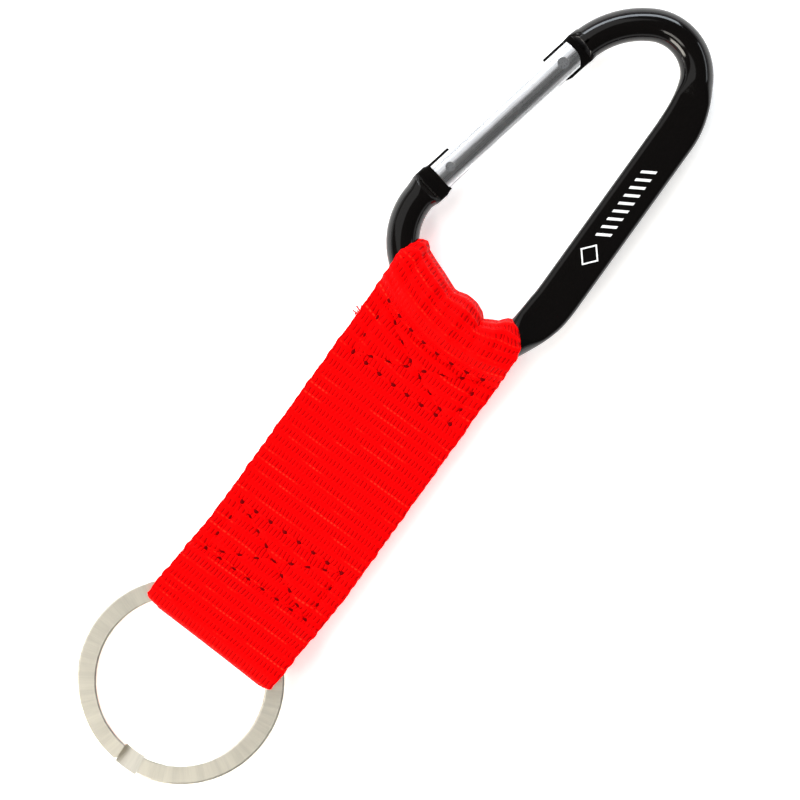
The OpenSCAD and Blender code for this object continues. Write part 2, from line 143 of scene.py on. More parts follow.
class KeyringStrap(bpy.types.PropertyGroup):
    """Sizes and colours of the strap"""

    thickness: FloatProperty(
        name="Webbing thickness",
        description="Thickness of one layer of webbing",
        default=1.32 * MM,
        unit="LENGTH",
    )
    rib: FloatProperty(
        name="Rib pitch",
        description="Distance from one cross rib to the next",
        default=1.85 * MM,
        unit="LENGTH",
    )
    yarn: FloatProperty(
        name="Yarn pitch",
        description="Distance between the lengthwise yarns",
        default=0.68 * MM,
        unit="LENGTH",
    )
    across: IntProperty(
        name="Steps across",
        description="Mesh steps across the webbing",
        default=56,
        min=20,
        max=70,
    )
    red: FloatVectorProperty(
        name="Webbing red",
        description="Colour of the webbing where light falls on it",
        default=(0.94, 0.0002, 0.0011),
        subtype="COLOR",
        size=3,
    )
    # painted shade: this darker red fills the gaps between yarns and the sewn puckers;
    # the fuzz's random darkening also leans towards it
    shade_red: FloatVectorProperty(
        name="Deep red",
        description="Colour between the yarns",
        default=(0.32, 0.0002, 0.001),
        subtype="COLOR",
        size=3,
    )


class KeyringStage(bpy.types.PropertyGroup):
    """Camera and light"""

    height: FloatProperty(
        name="Camera height",
        description="Distance from the camera down to the strap",
        default=0.46,
        unit="LENGTH",
    )
    view_width: FloatProperty(
        name="View width",
        description="Width of the picture at the strap",
        default=129.04 * MM,
        unit="LENGTH",
    )
    turn: FloatProperty(
        name="Camera turn",
        description="Turn of the camera about the vertical",
        default=math.radians(35.72),
        subtype="ANGLE",
    )


# ---------------------------------------------------------------- shader maths


class Shade:
    """A value in a node tree, so that shader maths reads as maths."""

    def __init__(self, tree, socket):
        self.tree = tree
        self.socket = socket

    def node(self, kind, settings=None, values=None, out=0):
        return add_node(self.tree, kind, settings, values, out)

    def math(self, how, *others):
        values = {i: v for i, v in enumerate((self, *others))}
        return self.node("ShaderNodeMath", {"operation": how}, values)

    def __add__(self, other):
        return self.math("ADD", other)

    def __radd__(self, other):
        return self.math("ADD", other)

    def __sub__(self, other):
        return self.math("SUBTRACT", other)

    def __rsub__(self, other):
        return (self * -1.0) + other

    def __mul__(self, other):
        return self.math("MULTIPLY", other)

    def __rmul__(self, other):
        return self.math("MULTIPLY", other)

    def __truediv__(self, other):
        return self.math("DIVIDE", other)

    def sin(self):
        return self.math("SINE")

    def cos(self):
        return self.math("COSINE")

    def abs(self):
        return self.math("ABSOLUTE")

    def floor(self):
        return self.math("FLOOR")

    def clamp(self):
        return self.node("ShaderNodeClamp", None, {0: self})

    def between(self, low, high, a=0.0, b=1.0):
        """Maps low..high to a..b, smoothly and clamped."""
        return self.node(
            "ShaderNodeMapRange",
            {"interpolation_type": "SMOOTHSTEP"},
            {0: self, 1: low, 2: high, 3: a, 4: b},
        )

    def mix(self, a, b):
        """Colour a at 0 and b at 1."""
        return self.node(
            "ShaderNodeMix",
            {"data_type": "RGBA"},
            {"Factor": self, "A_Color": a, "B_Color": b},
            "Result_Color",
        )


def find_socket(sockets, key):
    """A socket by number, name, or unique identifier."""
    if isinstance(key, int):
        return sockets[key]
    for s in sockets:
        if s.identifier == key:
            return s
    if key == "Factor":
        return next(s for s in sockets if s.identifier == "Factor_Float")
    return sockets[key]


def add_node(tree, kind, settings=None, values=None, out=0):
    """One node, with its settings, and with values or links on its inputs."""
    n = tree.nodes.new(kind)
    for key, value in (settings or {}).items():
        setattr(n, key, value)
    for key, value in (values or {}).items():
        socket = find_socket(n.inputs, key)
        if isinstance(value, Shade):
            tree.links.new(value.socket, socket)
        elif socket.type == "RGBA" and len(value) == 3:
            socket.default_value = (*value, 1.0)
        else:
            socket.default_value = value
    return Shade(tree, find_socket(n.outputs, out))


class Paint:
    """A new material with one Principled shader."""

    def __init__(self, name, **constants):
        self.material = bpy.data.materials.new(name)
        self.material.use_nodes = True
        self.tree = self.material.node_tree
        self.shader = next(
            n for n in self.tree.nodes if n.type == "BSDF_PRINCIPLED"
        )
        self.set(**constants)

    def set(self, **values):
        for key, value in values.items():
            socket = self.shader.inputs[key.replace("_", " ")]
            if isinstance(value, Shade):
                self.tree.links.new(value.socket, socket)
            elif socket.type == "RGBA" and len(value) == 3:
                socket.default_value = (*value, 1.0)
            else:
                socket.default_value = value

    def node(self, kind, settings=None, values=None, out=0):
        return add_node(self.tree, kind, settings, values, out)

    def place(self):
        """Object coordinates as x, y, z in millimetres."""
        at = self.node("ShaderNodeTexCoord", out="Object")
        return self.split(at)

    def surface(self, uv):
        """The piece's own UV map as two lengths in millimetres."""
        at = self.node("ShaderNodeUVMap", {"uv_map": uv}, out="UV")
        return self.split(at)

    def split(self, at):
        return [
            self.node("ShaderNodeSeparateXYZ", None, {0: at}, axis) * 1000.0
            for axis in ("X", "Y", "Z")
        ]

    def join(self, x, y, z):
        return self.node("ShaderNodeCombineXYZ", None, {0: x, 1: y, 2: z})

    def noise(self, where, scale, detail=3.0, rough=0.55):
        return self.node(
            "ShaderNodeTexNoise",
            None,
            {"Vector": where, "Scale": scale, "Detail": detail, "Roughness": rough},
        )

    def attribute(self, name):
        return self.node(
            "ShaderNodeAttribute", {"attribute_name": name}, out="Fac"
        )

    def bump(self, height, distance_mm, strength=1.0):
        return self.node(
            "ShaderNodeBump",
            None,
            {
                "Height": height,
                "Distance": distance_mm * MM,
                "Strength": strength,
            },
        )

    def on(self, *objects):
        for o in objects:
            o.data.materials.clear()
            o.data.materials.append(self.material)


# ---------------------------------------------------------------- mesh helpers


def ease(x):
    """0 below 0 and 1 above 1, with a smooth rise between."""
    x = np.clip(x, 0, 1)
    return x * x * (3 - 2 * x)


def pick_nothing():
    if bpy.context.object and bpy.context.object.mode != "OBJECT":
        bpy.ops.object.mode_set(mode="OBJECT")
    bpy.ops.object.select_all(action="DESELECT")


def new_mesh(name, verts, faces, uv=None):
    """A mesh object from points in the row frame, in metres."""
    mesh = bpy.data.meshes.new(name)
    mesh.from_pydata([tuple(v) for v in verts], [], [tuple(f) for f in faces])
    mesh.update()
    obj = bpy.data.objects.new(name, mesh)
    bpy.context.scene.collection.objects.link(obj)
    if uv is not None:
        layer = mesh.uv_layers.new(name="cloth")
        index = np.zeros(len(mesh.loops), np.int64)
        mesh.loops.foreach_get("vertex_index", index)
        layer.data.foreach_set("uv", np.asarray(uv, np.float32)[index].ravel())
    return obj


def make_active(obj):
    pick_nothing()
    obj.select_set(True)
    bpy.context.view_layer.objects.active = obj


def settle(obj):
    """Puts the object at the origin, unturned, with its place in its mesh."""
    make_active(obj)
    bpy.ops.object.transform_apply(location=True, rotation=True, scale=True)


def apply_all(obj):
    make_active(obj)
    for m in list(obj.modifiers):
        bpy.ops.object.modifier_apply(modifier=m.name)


def outwards(obj):
    """Doubles merged and normals pointing out."""
    make_active(obj)
    bpy.ops.object.mode_set(mode="EDIT")
    bpy.ops.mesh.select_all(action="SELECT")
    bpy.ops.mesh.remove_doubles(threshold=1e-6)
    bpy.ops.mesh.normals_make_consistent(inside=False)
    bpy.ops.object.mode_set(mode="OBJECT")


def smooth(obj, degrees=35):
    make_active(obj)
    bpy.ops.object.shade_smooth_by_angle(angle=math.radians(degrees))


# ---------------------------------------------------------------- frame path


def left_bend(p, heading, radius, turn, step=4.0):
    """Stations (point, heading) along a left-hand bend, without its first."""
    n = max(2, math.ceil(turn / step))
    out = []
    for i in range(1, n + 1):
        h = heading + turn * i / n
        a, b = math.radians(heading), math.radians(h)
        out.append(
            (
                p
                + radius
                * Vector((math.sin(b) - math.sin(a), math.cos(a) - math.cos(b))),
                h,
            )
        )
    return out


def straight(p, heading, length, step):
    n = max(1, math.ceil(length / step))
    d = Vector((math.cos(math.radians(heading)), math.sin(math.radians(heading))))
    return [(p + d * length * i / n, heading) for i in range(1, n + 1)]


SPINE_FOOT = Vector((12.5, 43.6))
SPINE_LEN = 31.6
# radius of the pressed spine's long edges
SPINE_EDGE = 1.05
# lean of the gate, slope of the base bar, and the short straights between bends
LEAN, SLOPE, GRIP = 11.7, 15.8, 0.4
GATE_HEADING = 270 - LEAN
BASE_HEADING = 360 - SLOPE
# radius and turn of each bend, in millimetres and degrees
SHOULDER, SHOULDER_TURN = 21.8, 24.2
CROWN, CROWN_TURN = 8.05, 98.1
NECK = 14.9
NOSE = 11.4
CORNER = 7.6
FOOT, FOOT_TURN = 27.6, 19.4
GATE_LEN = 29.8
PIVOT_GAP = 1.0
# places of the rivet and the latch pin along the gate
RIVET = 2.8
LATCH = GATE_LEN - 2.3


def frame_path():
    """Stations round the whole frame from the spine's foot, and both gate ends."""
    up = straight(SPINE_FOOT, 90, SPINE_LEN, 0.8)
    top = list(up)
    crown_heading = 90 + SHOULDER_TURN
    neck_heading = crown_heading + CROWN_TURN
    top += left_bend(top[-1][0], 90, SHOULDER, SHOULDER_TURN, 1.5)
    top += straight(top[-1][0], crown_heading, GRIP, GRIP)
    top += left_bend(top[-1][0], crown_heading, CROWN, CROWN_TURN, 3.5)
    top += straight(top[-1][0], neck_heading, GRIP, GRIP)
    top += left_bend(top[-1][0], neck_heading, NECK, GATE_HEADING - neck_heading, 3.5)
    gate_line_top = top[-1][0]
    nose_turn = BASE_HEADING - GATE_HEADING
    foot_heading = 450 - FOOT_TURN
    corner_turn = foot_heading - BASE_HEADING
    zero = Vector((0, 0))
    steps = (
        left_bend(zero, GATE_HEADING, NOSE, nose_turn)[-1][0]
        + left_bend(zero, BASE_HEADING, CORNER, corner_turn)[-1][0]
        + straight(zero, foot_heading, GRIP, GRIP)[-1][0]
        + left_bend(zero, foot_heading, FOOT, FOOT_TURN)[-1][0]
    )
    gap = SPINE_FOOT - gate_line_top - steps
    g, b = math.radians(GATE_HEADING), math.radians(BASE_HEADING)
    det = math.cos(g) * math.sin(b) - math.cos(b) * math.sin(g)
    line = (gap.x * math.sin(b) - gap.y * math.cos(b)) / det
    base = (gap.y * math.cos(g) - gap.x * math.sin(g)) / det
    low = [(gate_line_top + Vector((math.cos(g), math.sin(g))) * line, GATE_HEADING)]
    low += left_bend(low[-1][0], GATE_HEADING, NOSE, nose_turn, 3.5)
    low += straight(low[-1][0], BASE_HEADING, base, 2.0)
    low += left_bend(low[-1][0], BASE_HEADING, CORNER, corner_turn, 3.5)
    low += straight(low[-1][0], foot_heading, GRIP, GRIP)
    low += left_bend(low[-1][0], foot_heading, FOOT, FOOT_TURN, 1.25)
    gate_top = gate_line_top + PIVOT_GAP * Vector((math.cos(g), math.sin(g)))
    return low, top, gate_top


LOW, TOP, GATE_TOP = frame_path()


def on_gate(along, inward=0.0, z=0.0):
    """A point measured along the gate from its pivot end, in the row frame."""
    g = math.radians(GATE_HEADING)
    d = Vector((math.cos(g), math.sin(g)))
    n = Vector((-d.y, d.x))
    p = GATE_TOP + d * along + n * inward
    return place(p.x, p.y, z)


def swept(name, stations, corner_steps=12):
    """Sweeps a rounded rectangle through stations of (point, heading, width, height,
    corner radius), in millimetres, by extruding, turning and reshaping one ring."""
    pick_nothing()
    p, heading, w, t, r = stations[0]
    count = 4 * corner_steps
    bpy.ops.mesh.primitive_circle_add(
        vertices=count,
        radius=r * MM,
        location=place(p.x, p.y),
        rotation=(math.radians(90), 0, math.radians(heading + 90)),
    )
    obj = bpy.context.object
    obj.name = name
    settle(obj)
    bpy.ops.object.mode_set(mode="EDIT")
    bm = bmesh.from_edit_mesh(obj.data)
    ring = list(bm.verts)
    centre = place(p.x, p.y)

    def sides(heading):
        h = math.radians(heading)
        return Vector((-math.sin(h), math.cos(h), 0))

    def quarter(verts, centre, n):
        found = {}
        for v in verts:
            d = v.co - centre
            q, z = d.dot(n), d.z
            key = (1 if q > 0 else -1, 1 if z > 0 else -1)
            found.setdefault(key, []).append(v)
        return found

    # turn the circle by half a step so that no point lies on an axis
    n = sides(heading)
    half = Matrix.Rotation(math.pi / count, 3, Vector((-n.y, n.x, 0)).normalized())
    for v in ring:
        v.co = centre + half @ (v.co - centre)
    for (sq, sz), verts in quarter(ring, centre, n).items():
        push = (n * sq * (w / 2 - r) + Vector((0, 0, sz * (t / 2 - r)))) * MM
        for v in verts:
            v.co += push
    bm.select_mode = {"VERT"}
    for p2, heading2, w2, t2, r2 in stations[1:]:
        for v in bm.verts:
            v.select = False
        for v in ring:
            v.select = True
        bm.select_flush(True)
        bpy.ops.mesh.extrude_region_move(
            TRANSFORM_OT_translate={"value": place(p2.x, p2.y) - centre}
        )
        bm = bmesh.from_edit_mesh(obj.data)
        ring = [v for v in bm.verts if v.select]
        centre2 = place(p2.x, p2.y)
        n2 = sides(heading2)
        groups = quarter(ring, centre2, sides(heading))
        turn = Matrix.Rotation(math.radians(heading2 - heading), 3, "Z")
        old = (w / 2 - r, t / 2 - r)
        for (sq, sz), verts in groups.items():
            c_old = (n * sq * old[0] + Vector((0, 0, sz * old[1]))) * MM
            c_new = (n2 * sq * (w2 / 2 - r2) + Vector((0, 0, sz * (t2 / 2 - r2)))) * MM
            for v in verts:
                d = turn @ (v.co - centre2 - c_old)
                v.co = centre2 + c_new + d * (r2 / r)
        heading, w, t, r, n, centre = heading2, w2, t2, r2, n2, centre2
    bmesh.update_edit_mesh(obj.data)
    bpy.ops.mesh.select_all(action="DESELECT")
    bpy.ops.mesh.select_non_manifold()
    bpy.ops.mesh.edge_face_add()
    bpy.ops.object.mode_set(mode="OBJECT")
    outwards(obj)
    return obj


def cut_with(obj, cutters):
    """Takes the cutters' shapes out of obj and removes them."""
    for c in cutters:
        m = obj.modifiers.new("cut", "BOOLEAN")
        m.operation = "DIFFERENCE"
        m.solver = "EXACT"
        m.object = c
    apply_all(obj)
    for c in cutters:
        bpy.data.objects.remove(c)


def block(low, high):
    """A box on the gate line, between two corners given as (along, inward, z)."""
    pick_nothing()
    size = [b - a for a, b in zip(low, high)]
    mid = [(a + b) / 2 for a, b in zip(low, high)]
    bpy.ops.mesh.primitive_cube_add(
        size=1,
        location=on_gate(*mid),
        rotation=(0, 0, math.radians(GATE_HEADING)),
        scale=[s * MM for s in size],
    )
    return bpy.context.object


def post(along, radius, height, inward=0.0):
    """A round post across the gate line."""
    pick_nothing()
    bpy.ops.mesh.primitive_cylinder_add(
        vertices=48,
        radius=radius * MM,
        depth=height * MM,
        location=on_gate(along, inward),
    )
    return bpy.context.object


# ---------------------------------------------------------------- operators


class KEYRING_OT_frame(bpy.types.Operator):
    """Bent rod frame with its pressed spine, shoulders and flat ends"""

    bl_idname = "keyring.frame"
    bl_label = "Carabiner frame"

    def execute(self, context):
        size = context.scene.keyring_metal
        rod = size.rod / MM
        wide, thin = size.spine_width / MM, size.spine_thickness / MM
        round_bar = (rod, rod, rod / 2)
        flat_end = (rod, 2.0, 0.28)

        def section(p, heading):
            """The rod's section: pressed flat along the spine, round elsewhere."""
            w, t, r = rod, rod, rod / 2
            if 45 < heading % 360 < 135:
                spread = min(ease((p.y - 32) / 9), ease((87 - p.y) / 11))
                flat = min((p.y - 34.6) / 2.4, (84.6 - p.y) / 2.6)
                flat = max(0.0, min(1.0, flat))
                w = rod + (wide - rod) * spread
                t = rod + (thin - rod) * flat
                round_edge = rod / 2 + (SPINE_EDGE - rod / 2) * flat
                r = min(t / 2 - 0.001, w / 2 - 0.001, round_edge)
            return (w, t, r)

        stations = []
        gh = math.radians(GATE_HEADING)
        d = Vector((math.cos(gh), math.sin(gh)))
        nose = GATE_TOP + d * GATE_LEN
        # nose tongue, flat band, slope, collar, then the round rod
        for along, sec in (
            (-4.2, (4.5, 1.94, 0.2)),
            (-4.05, flat_end),
            (-0.3, (5.4, 2.0, 0.28)),
            (0.35, (5.55, 2.0, 0.28)),
            (0.95, (6.0, 2.0, 0.3)),
            (2.3, (6.0, 2.0, 0.3)),
            (2.45, (6.02, 2.3, 0.5)),
            (3.2, (5.9, 4.6, 1.7)),
            (3.42, (5.75, 5.1, 2.2)),
        ):
            stations.append((nose + d * along, GATE_HEADING, *sec))
        for p, heading in LOW[2:]:
            stations.append((p, heading, *section(p, heading)))
        for p, heading in TOP[:-1]:
            stations.append((p, heading, *section(p, heading)))
        for along, sec in (
            (-2.75, round_bar),
            (-2.55, (5.45, 5.2, 2.45)),
            (-1.35, (5.6, 2.6, 0.8)),
            (-1.15, (5.6, 2.05, 0.35)),
            (-1.0, (5.6, 2.0, 0.28)),
            (0.4, flat_end),
            (4.7, flat_end),
            (4.8, (5.2, 1.8, 0.2)),
        ):
            stations.append((GATE_TOP + d * along, GATE_HEADING, *sec))
        obj = swept("rod_frame", stations)
        # every cutter reaches this far past the rod on both faces
        past = 6
        cutters = [
            post(LATCH, 0.86, 2 * past),
            block((LATCH - 1.1, 0, -past), (LATCH + 0.86, past, past)),
            block((GATE_LEN - 6, 1.5, -past), (LATCH, past, past)),
            block((GATE_LEN - 6, 2.2, -past), (GATE_LEN - 0.2, past, past)),
            post(RIVET, 1.0, 2 * past),
        ]
        cut_with(obj, cutters)
        # the cam corner on the inner side turns round the rivet
        corner = block((RIVET, 0, -past), (8, past, past))
        keep = post(RIVET, 2.7, 2 * past)
        cut_with(corner, [keep])
        cut_with(obj, [corner])
        smooth(obj, 28)
        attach(obj, "carabiner")
        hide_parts("frame")

        paint = Paint(
            "black anodised",
            Base_Color=size.black,
            Specular_IOR_Level=0.34,
        )
        x, y, z = paint.place()
        where = paint.join(x, y, z)
        grain = paint.noise(where, 1.3, 4.0)
        fine = paint.noise(where, 9.0, 2.0)
        scratch = paint.noise(paint.join(x * 6.0, y * 0.35, z * 6.0), 1.6, 2.0)
        # a plain printed mark of one lozenge and a row of slanted bars
        face = place(12.5, 49.5)
        along = y - face.y / MM
        aside = x - face.x / MM
        lozenge = (along - 2.4).abs() * 0.85 + aside.abs()
        outline = (lozenge - 1.6).abs().between(0.12, 0.2, 1.0, 0.0)
        row = (along - aside * 0.6 - 5.6) / 1.55
        bars = (
            (row - row.floor() - 0.5).abs().between(0.14, 0.19, 1.0, 0.0)
            * aside.abs().between(1.05, 1.12, 1.0, 0.0)
            * row.between(0.0, 0.02)
            * row.between(8.98, 9.0, 1.0, 0.0)
        )
        mark = (outline + bars).clamp() * z.between(6.3, 6.4)
        black = fine.between(0.35, 0.7).mix(size.black, [c * 2.2 for c in size.black])
        paint.set(
            Roughness=grain.between(0.3, 0.75, 0.07, 0.12)
            + scratch.between(0.62, 0.75, 0.0, 0.05)
            + mark * 0.3,
            Base_Color=mark.mix(black, (0.85, 0.86, 0.86)),
            Normal=paint.bump(grain * 0.6 + fine * 0.4, 0.01, 0.5),
        )
        paint.on(obj)
        return {"FINISHED"}


class KEYRING_OT_gate(bpy.types.Operator):
    """Polished gate rod with its rivet, latch pin, plunger and spring"""

    bl_idname = "keyring.gate"
    bl_label = "Gate"

    def execute(self, context):
        size = context.scene.keyring_metal
        paint = Paint("polished aluminium", Metallic=1.0, Base_Color=size.silver)
        x, y, z = paint.place()
        g = math.radians(GATE_HEADING)
        along = x * math.cos(g) + y * math.sin(g)
        over = x * -math.sin(g) + y * math.cos(g)
        lines = paint.noise(paint.join(along * 0.05, over * 5.0, z * 5.0), 2.0, 4.0)
        cloud = paint.noise(paint.join(x, y, z), 0.5, 3.0)
        paint.set(
            Roughness=lines.between(0.3, 0.7, 0.22, 0.36)
            + cloud.between(0.5, 0.8, 0.0, 0.06),
            Base_Color=(cloud * 0.3 + lines * 0.7)
            .between(0.38, 0.66)
            .mix(size.silver, [c * 0.72 for c in size.silver]),
            Normal=paint.bump(lines, 0.008, 0.5),
        )
        nodes = frame["nodes"]
        paint.on(nodes["gate"])
        smooth_normals(nodes["gate"])
        steel = Paint("pin steel", Metallic=1.0, Base_Color=(0.55, 0.56, 0.57))
        x, y, z = steel.place()
        turned = steel.noise(steel.join(x, y, z), 3.0, 4.0)
        steel.set(
            Roughness=turned.between(0.3, 0.7, 0.26, 0.34),
            Base_Color=turned.between(0.3, 0.8).mix(
                (0.7, 0.71, 0.73), (0.56, 0.57, 0.59)
            ),
        )
        for name in ("pivot_rivet", "latch_pin", "gate_plunger", "gate_spring"):
            steel.on(nodes[name])
        return {"FINISHED"}


def smooth_normals(obj):
    """Carried-over CAD nodes keep their own split normals."""
    for poly in obj.data.polygons:
        poly.use_smooth = True


class KEYRING_OT_ring(bpy.types.Operator):
    """Split ring in brushed, nickel-plated steel"""

    bl_idname = "keyring.ring"
    bl_label = "Split ring"

    def execute(self, context):
        size = context.scene.keyring_metal
        paint = Paint("brushed ring", Metallic=1.0, Base_Color=size.steel)
        x, y, _ = paint.place()
        c = middle("split_ring")
        dx, dy = x - c.x * 1000.0, y - c.y * 1000.0
        angle = dy.math("ARCTAN2", dx)
        reach = (dx * dx + dy * dy).math("SQRT")
        # fine lines run across the band, so they change fast round the ring
        lines = paint.noise(
            paint.join(angle.cos() * 60.0, angle.sin() * 60.0, reach * 0.12),
            1.4,
            5.0,
            0.65,
        )
        broad = paint.noise(
            paint.join(angle.cos() * 9.0, angle.sin() * 9.0, reach * 0.1), 1.0, 3.0
        )
        paint.set(
            Roughness=lines.between(0.3, 0.75, 0.34, 0.42),
            Base_Color=(broad * 0.7 + lines * 0.3)
            .between(0.34, 0.66)
            .mix([c * 0.93 for c in size.steel], [min(1, c * 1.06) for c in size.steel]),
            Normal=paint.bump(lines, 0.012, 0.4),
        )
        paint.on(frame["nodes"]["split_ring"])
        smooth_normals(frame["nodes"]["split_ring"])
        return {"FINISHED"}


# ---------------------------------------------------------------- strap

# half the webbing's width, and half the spacing of two sewn layers
HALF = 12.5
LAYER = 0.7
# half widths that the arms draw the rim in to, left and right
RIM_LEFT, RIM_RIGHT = 11.4, 8.8
# where the rim of the upper loop runs, as (across, height) in millimetres
RIM = (
    (-12.5, 37.0),
    (-11.5, 37.7),
    (-10.9, 38.3),
    (-10.2, 38.6),
    (-9.6, 37.7),
    (-7.5, 36.8),
    (-4.3, 35.6),
    (-2.2, 34.75),
    (-1.3, 34.8),
    (0.1, 35.2),
    (1.9, 35.1),
    (3.3, 34.5),
    (4.4, 33.35),
    (5.1, 33.9),
    (6.0, 34.4),
    (7.0, 34.9),
    (7.8, 36.0),
    (8.5, 36.4),
    (12.5, 36.2),
)
RIM_TOP = 36.8
# mesh step along the strip
WEAVE_STEP = 0.27
# width of the ring's band, and the room the webbing keeps to it
RING_BAND, RING_ROOM = 3.3, 0.75


def drawn(x, y):
    """Where a place on the squared-up strap comes to, once the carabiner's arms have
    drawn its sides up and the ring has pulled its foot aside."""
    up = np.clip((y - 29.5) / 7.0, 0, 1) ** 2
    side = np.where(x < 0, RIM_LEFT / HALF, RIM_RIGHT / HALF)
    x = x * (1 - up * (1 - side))
    bow = 0.0197 * (x - 2.5) ** 2 - 0.6
    rim = np.interp(x, [a for a, _ in RIM], [b for _, b in RIM])
    rise = ease((y - 11) / 19) * bow + ease((y - 29.5) / 6.5) * (rim - RIM_TOP - bow)
    foot = ease((-14 - y) / 22)
    lean = ease((-29 - y) / 5) * (0.475 - 0.038 * x)
    return x + 0.25 - foot * 1.15, y + rise + lean


def strip_line():
    """The middle line of the strip as (height, depth) in millimetres: from its hidden
    end, round the bar, down the front, round the ring and up the back."""
    pts = []

    def run(a, b):
        n = max(2, round(math.dist(a, b) / WEAVE_STEP))
        for i in range(n):
            k = i / n
            pts.append((a[0] + (b[0] - a[0]) * k, a[1] + (b[1] - a[1]) * k))

    def arc(cy, cz, r, a0, a1):
        n = max(3, round(abs(math.radians(a1 - a0)) * r / WEAVE_STEP))
        for i in range(n):
            a = math.radians(a0 + (a1 - a0) * i / n)
            pts.append((cy + r * math.cos(a), cz + r * math.sin(a)))

    # radius of the loop round the bar, half the fold's depth, radius of its corners
    top_r, low_r, bend_r = 3.75, 2.55, 1.3
    hidden_end, sewn_top, throat = 14.2, 24.8, (27.7, 3.3)
    loop_low, loop_high = 29.4, 32.4
    sewn_foot, fold_mouth, fold_flat, fold_foot = -22.6, -25.2, -32.6, -35.15
    lap_start, lap_end, cut_end = 11.6, 13.8, 22.9
    fold_turn = fold_foot + bend_r
    run((hidden_end, -LAYER), (sewn_top, -LAYER))
    run((sewn_top, -LAYER), (throat[0], -throat[1]))
    arc(loop_low, 0, top_r, 242, 270)
    run((loop_low, -top_r), (loop_high, -top_r))
    arc(loop_high, 0, top_r, -90, 90)
    run((loop_high, top_r), (loop_low, top_r))
    arc(loop_low, 0, top_r, 90, 118)
    run(throat, (sewn_top, LAYER))
    run((sewn_top, LAYER), (sewn_foot, LAYER))
    run((sewn_foot, LAYER), (fold_mouth, low_r))
    run((fold_mouth, low_r), (fold_flat, low_r))
    run((fold_flat, low_r), (fold_turn, low_r))
    arc(fold_turn, low_r - bend_r, bend_r, 90, 180)
    run((fold_foot, low_r - bend_r), (fold_foot, bend_r - low_r))
    arc(fold_turn, bend_r - low_r, bend_r, 180, 270)
    run((fold_turn, -low_r), (fold_mouth, -low_r))
    run((fold_mouth, -low_r), (sewn_foot, -LAYER))
    run((sewn_foot, -LAYER), (lap_start, -LAYER))
    run((lap_start, -LAYER), (lap_end, -3 * LAYER))
    run((lap_end, -3 * LAYER), (cut_end, -3 * LAYER))
    pts.append((cut_end, -3 * LAYER))
    p = np.array(pts)
    # round the corners of the line
    for _ in range(10):
        p[1:-1] = p[1:-1] * 0.5 + (p[:-2] + p[2:]) * 0.25
    return p


STITCH = 2.9
# left, right, foot and top of each sewn box
BOXES = ((-9.6, 10.0, 16.5, 25.2), (-10.0, 9.8, -22.7, -13.1))


def seams():
    """Sewn lines of both boxes as pairs of points, in millimetres."""
    lines = []
    for left, right, low, high in BOXES:
        a, b, c, d = (left, low), (right, low), (right, high), (left, high)
        for p, q in ((a, b), (b, c), (c, d), (d, a), (a, c), (b, d)):
            lines.append((Vector(p), Vector(q)))
    return lines


def stitch_spots():
    """Every stitch as (middle, direction, length) in millimetres."""
    out = []
    for p, q in seams():
        d = q - p
        n = max(2, round(d.length / STITCH))
        for i in range(n):
            out.append((p + d * (i + 0.5) / n, d.normalized(), d.length / n))
    return out


def pucker_at(x, y):
    """How deeply the sewing pulls the cloth in at each point."""
    depth = np.zeros_like(x)
    for p, q in seams():
        d = q - p
        ln = d.length
        t = np.clip(((x - p.x) * d.x + (y - p.y) * d.y) / ln**2, 0, 1)
        off = np.hypot(x - p.x - t * d.x, y - p.y - t * d.y)
        n = max(2, round(ln / STITCH))
        beat = 0.5 + 0.5 * np.cos(2 * np.pi * t * n)
        depth = np.maximum(depth, np.exp(-((off / 0.6) ** 2)) * (0.45 + 0.55 * beat))
    return depth


